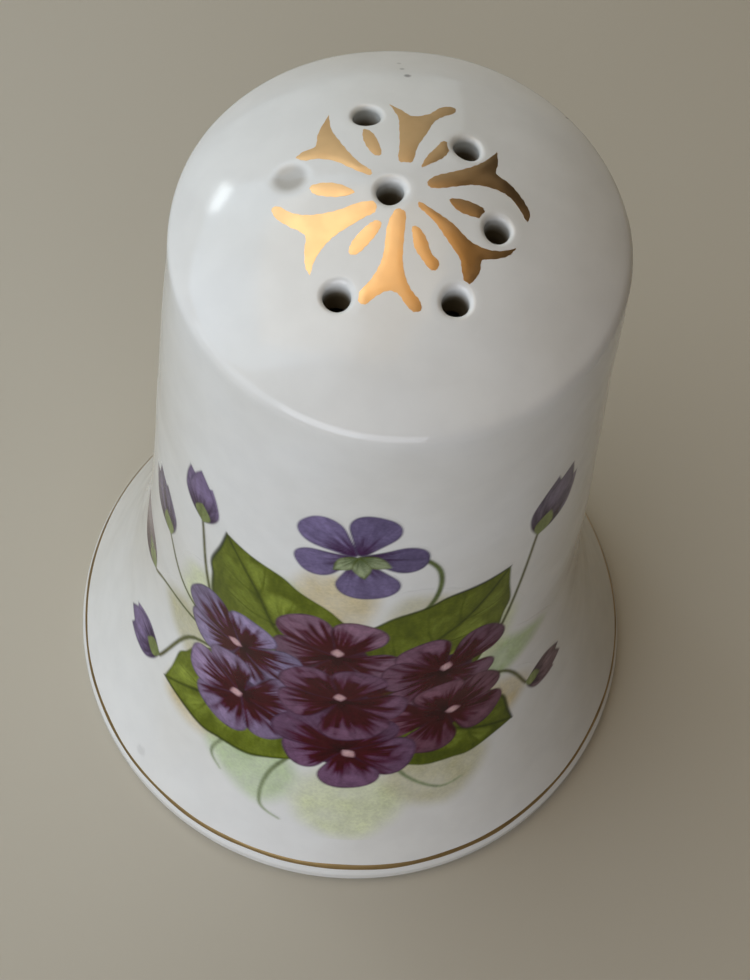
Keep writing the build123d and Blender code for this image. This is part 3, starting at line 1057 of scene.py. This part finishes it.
def gold_line(look):
    """The line round the foot, drawn by hand: it wanders a little, and its width changes."""
    low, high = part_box("gold_foot_band")
    middle = np.interp((low.z + high.z) / 2 / MM, wall_z, wall_up)
    turn = np.linspace(0, 2 * math.pi, 3 * SEGMENTS, endpoint=False)
    wander = 0.10 * np.sin(2 * turn + 0.6) + 0.07 * np.sin(5 * turn + 2.0) + 0.03 * np.sin(17 * turn)
    width = 0.47 + 0.10 * np.sin(3 * turn + 1.0) + 0.05 * np.sin(11 * turn + 0.3) + 0.03 * np.sin(31 * turn)
    across = np.linspace(-0.5, 0.5, 7)[:, None]
    up = middle + 0.1 + wander + across * width
    lift = 0.010 + 0.022 * (1 - (2 * across) ** 2) + 0 * turn
    azimuth = np.broadcast_to(turn, up.shape)
    top = on_wall(azimuth.ravel(), up.ravel(), lift.ravel())
    bottom = on_wall(azimuth.ravel(), up.ravel(), -LINE_SUNK + 0 * lift.ravel())
    points, faces = shell(uneven(top), uneven(bottom), strip_faces(len(across), len(turn)))
    return piece("gold_line", points, faces, look, "shaker", ["gold_foot_band"])


def gold_sprig(look):
    """The sprig on the crown: each fork and petal is a thin layer with a soft edge, open at the holes."""
    gathered = Patches()
    for index, leaf in enumerate(SPRIG):
        line = curve(leaf, closed=True, steps=6)
        along = np.arange(len(line))
        line = line + 0.018 * np.stack([np.sin(2.1 * along + index), np.cos(1.7 * along + 2 * index)], -1)
        low, high = line.min(0), line.max(0)
        grid = grid_in(max(high - low) / 2 + 0.3, 0.17) + (low + high) / 2
        gap, _ = nearest(np.vstack([line, line[:1]]), *grid.T)
        grid = grid[enclosed(line, *grid.T) & (gap > 0.07)]
        rings = [hole_ring(i, GOLD_GAP) for i in range(len(HOLES))]
        close = [ring for ring in rings if nearest(ring, *line.T)[0].min() < 1.0]
        flat, triangles = triangulated(grid, [line, *close])
        middle = flat[triangles].mean(1)
        kept = enclosed(line, *middle.T)
        for ring in close:
            kept &= ~enclosed(ring, *middle.T)
        used, faces = np.unique(triangles[kept], return_inverse=True)
        flat = flat[used]
        depth, _ = nearest(np.vstack([line, line[:1]]), *flat.T)
        lift = 0.006 + 0.012 * smooth(0, 0.3, depth)
        height = crown_height(*flat.T)
        top = np.column_stack([flat, height + lift])
        bottom = np.column_stack([flat, height - GOLD_SUNK])
        points, all_faces = shell(top, bottom, faces.reshape(-1, 3))
        gathered.add(points, all_faces)
    points = uneven(np.vstack(gathered.points))
    return piece("gold_sprig", points, gathered.faces, look, "shaker", ["gold_crown_sprig"])


def cork(look):
    """The tapered cork: softened edges, and shallow pits where grains have come out."""
    low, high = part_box("cork_stopper")
    bottom, top = low.z / MM, high.z / MM
    wide = high.x / MM
    narrow = wide - (FILL_HOLE_BOTTOM - FILL_HOLE_TOP) / (FLOOR_TOP - FLOOR_BOTTOM) * (top - bottom)
    edge = 0.5
    profile = np.vstack([
        run((0.02, bottom), (wide - edge, bottom), 0.3),
        run((wide - edge, bottom), (wide, bottom + edge), 0.25),
        run((wide, bottom + edge), (narrow, top - edge), 0.3),
        run((narrow, top - edge), (narrow - edge, top), 0.25),
        run((narrow - edge, top), (0.02, top), 0.3),
    ])
    points, quads = turned(profile)
    rim = np.arange(SEGMENTS)
    ends = [rim[::-1].tolist(), (len(points) - SEGMENTS + rim).tolist()]
    x, y, z = points.T
    turn = np.arctan2(y, x)
    pits = brushed(turn * 9 + 30, z * 1.1 + np.hypot(x, y) * 1.3, 51)
    pits = pits + 0.5 * brushed(x * 2.6 + 30, y * 2.6 + 30, 52)
    inward = 1 - 0.022 * smooth(0.5, 1.1, pits) - 0.004 * (1 + brushed(x * 4 + 60, z * 4 + y * 3 + 90, 53))
    middle = (bottom + top) / 2
    inner = np.column_stack([x * inward, y * inward, middle + (z - middle) * inward])
    return piece("cork", inner, quads.tolist() + ends, look, "cork", ["cork_stopper"])


# The gold sprig as seen from above, in millimetres from the crown's middle: six forks, then six petals
SPRIG = [
    [(-0.75, 1.75), (-0.8, 3.0), (-0.95, 4.4), (-1.1, 5.3), (-1.75, 6.45), (-1.75, 6.45), (-0.95, 6.0),
     (-0.25, 5.55), (0.7, 5.95), (1.3, 6.7), (1.85, 7.05), (2.3, 6.95), (2.2, 6.45), (1.6, 5.95),
     (1.1, 5.3), (0.75, 4.2), (0.3, 3.0), (0.1, 1.8), (-0.3, 1.65)],
    [(-2.35, 0.45), (-3.4, 0.85), (-4.5, 1.4), (-5.6, 1.6), (-6.3, 1.5), (-6.9, 1.75), (-6.9, 1.75),
     (-6.5, 2.2), (-5.8, 2.6), (-5.75, 3.7), (-5.3, 5.3), (-5.3, 5.3), (-5.0, 4.0), (-4.4, 3.0),
     (-3.7, 2.05), (-3.0, 1.3), (-2.3, 0.8)],
    [(-1.85, -1.35), (-2.8, -1.5), (-3.8, -2.0), (-4.8, -2.3), (-5.8, -2.4), (-6.7, -2.2), (-7.45, -1.75),
     (-7.85, -1.9), (-7.5, -2.55), (-6.7, -3.1), (-5.65, -3.7), (-5.55, -4.6), (-5.35, -5.6), (-5.0, -6.1),
     (-5.0, -6.1), (-4.85, -5.2), (-4.4, -4.3), (-3.8, -3.6), (-3.0, -2.95), (-2.3, -2.4), (-1.75, -2.0)],
    [(-0.6, -1.75), (-0.95, -2.8), (-0.95, -4.4), (-1.1, -5.3), (-1.5, -6.2), (-2.0, -6.9), (-2.05, -7.4),
     (-1.6, -7.6), (-1.05, -7.1), (-0.4, -6.7), (0.2, -6.8), (0.7, -7.3), (1.2, -7.65), (1.65, -7.5),
     (1.5, -7.0), (0.95, -6.5), (0.5, -5.8), (0.2, -4.8), (0.1, -3.4), (0.05, -2.0), (-0.2, -1.7)],
    [(0.75, -1.0), (1.5, -1.35), (2.2, -1.7), (2.9, -2.1), (3.5, -2.6), (4.1, -3.0), (5.0, -3.2),
     (5.9, -3.05), (6.75, -2.6), (6.75, -2.6), (6.35, -3.2), (5.6, -3.65), (4.8, -3.95), (4.75, -4.6),
     (4.5, -5.2), (4.05, -5.65), (3.7, -4.9), (3.5, -4.2), (3.0, -3.6), (2.4, -2.9), (1.8, -2.2),
     (1.2, -1.7), (0.75, -1.35)],
    [(1.1, 0.45), (1.5, 0.95), (2.3, 1.4), (3.0, 1.8), (3.8, 2.35), (4.5, 3.05), (5.1, 3.95), (5.1, 3.95),
     (5.2, 3.0), (5.15, 2.2), (5.9, 1.8), (6.5, 1.3), (7.1, 0.6), (7.4, 0.0), (7.25, -0.6), (6.8, 0.0),
     (6.2, 0.65), (5.5, 0.95), (4.6, 1.02), (3.8, 0.9), (2.9, 0.55), (2.0, 0.2), (1.3, 0.1)],
    [(-3.05, 4.0), (-2.5, 3.75), (-2.05, 2.95), (-1.8, 2.1), (-2.15, 1.95), (-2.6, 2.4), (-3.0, 3.2)],
    [(0.65, 1.45), (1.1, 1.75), (1.8, 2.35), (2.15, 2.95), (2.2, 3.6), (1.75, 3.75), (1.4, 3.15),
     (0.9, 2.3)],
    [(-5.75, -0.45), (-5.0, -0.2), (-4.0, -0.3), (-3.1, -0.8), (-3.9, -1.15), (-4.8, -1.15), (-5.5, -0.95)],
    [(-1.6, -2.55), (-1.3, -2.75), (-1.5, -3.4), (-2.0, -4.2), (-2.5, -4.75), (-2.95, -4.7), (-2.9, -4.1),
     (-2.5, -3.4), (-2.0, -2.8)],
    [(0.5, -2.7), (0.9, -2.7), (1.4, -3.3), (1.8, -4.15), (2.3, -4.6), (2.2, -5.1), (1.8, -5.1),
     (1.3, -4.6), (0.8, -4.0), (0.6, -3.3)],
    [(2.5, -0.5), (3.2, -0.3), (4.0, -0.4), (4.6, -0.65), (4.5, -1.25), (3.8, -1.3), (3.0, -1.1)],
]

porcelain_body(glazed("glazed_porcelain"))
violet_transfer(glazed("painted_glaze", painted=True))
# The foot's gold is coloured far darker than the crown's: partly rubbed wear, partly painted shade on the
# low band
gold_line(gilded("gold_of_the_foot", (0.36, 0.25, 0.11), (0.17, 0.125, 0.06), 0.8))
gold_sprig(gilded("gold_of_the_crown", (0.82, 0.52, 0.25), (0.56, 0.32, 0.15), 0.4))
cork(corky())


# ---------------- floor, lights and camera


def flat_look(name, colour, second):
    """A plain matt finish for the floor, with a faint cloudiness."""
    look = Look(name)
    look.set(Base_Color=look.mix(look.noise(60, 3.0), colour, second), Roughness=0.9)
    return look.material


def floor():
    """A wide plain floor at the height of the foot."""
    reach = 1.5
    mesh = bpy.data.meshes.new("floor")
    z = cad_box[0][2] - 0.00002
    corners = [(-reach, -reach, z), (reach, -reach, z), (reach, reach, z), (-reach, reach, z)]
    mesh.from_pydata(corners, [], [(0, 1, 2, 3)])
    mesh.materials.append(flat_look("floor_paint", (0.52, 0.485, 0.40), (0.56, 0.525, 0.44)))
    made = bpy.data.objects.new("floor", mesh)
    bpy.context.scene.collection.objects.link(made)


def soft_light(name, towards, distance, size, power, colour):
    """A light of a given width and height that faces the object, in the given direction from it."""
    data = bpy.data.lights.new(name, "AREA")
    data.shape = "RECTANGLE"
    data.size, data.size_y = size
    data.energy = power
    data.color = colour
    made = bpy.data.objects.new(name, data)
    bpy.context.scene.collection.objects.link(made)
    made.location = Vector(towards).normalized() * distance + Vector((0, 0, 0.5 * HEIGHT * MM))
    made.rotation_euler = Vector(towards).to_track_quat("Z", "Y").to_euler()


# Name, direction, distance, width and height in metres, power, colour
LIGHTS = (
    ("window", (-0.76, 0.50, 0.41), 0.47, (0.07, 0.042), 0.055, (0.90, 0.98, 1.0)),
    ("low_left", (-0.66, -0.72, 0.19), 0.55, (0.90, 0.30), 0.95, (0.78, 0.88, 1.0)),
    ("low_front", (-0.15, -0.97, 0.20), 0.55, (0.60, 0.32), 1.18, (0.88, 0.90, 1.0)),
    ("room_left", (-0.56, 0.06, 0.82), 0.23, (0.26, 0.26), 0.32, (0.64, 0.81, 1.0)),
    ("room_back", (-0.36, 0.82, 0.45), 0.80, (1.0, 0.80), 1.25, (0.86, 0.96, 1.0)),
    ("ceiling", (-0.28, 0.05, 1.0), 0.80, (0.80, 0.80), 1.85, (1.0, 0.64, 0.22)),
)


def world(colour, strength):
    """A dim, even room."""
    made = bpy.data.worlds.new("room")
    made.use_nodes = True
    made.node_tree.nodes["Background"].inputs["Color"].default_value = (*colour, 1)
    made.node_tree.nodes["Background"].inputs["Strength"].default_value = strength
    bpy.context.scene.world = made


def camera():
    """The viewing angle of the photograph: from close by, in front and high above, turned a little."""
    data = bpy.data.cameras.new("camera")
    data.lens = CAMERA_LENS
    data.sensor_width = 36.0
    data.clip_start = 0.005
    made = bpy.data.objects.new("camera", data)
    bpy.context.scene.collection.objects.link(made)
    place = Vector(CAMERA_PLACE) * MM
    aim = Vector(CAMERA_AIM) * MM
    roll = Quaternion((0, 0, 1), math.radians(CAMERA_ROLL))
    made.location = place
    made.rotation_mode = "QUATERNION"
    made.rotation_quaternion = (place - aim).to_track_quat("Z", "Y") @ roll
    bpy.context.scene.camera = made


floor()
for light in LIGHTS:
    soft_light(*light)
world((1.0, 0.78, 0.50), 0.012)
camera()
bpy.context.scene.view_settings.view_transform = "Standard"
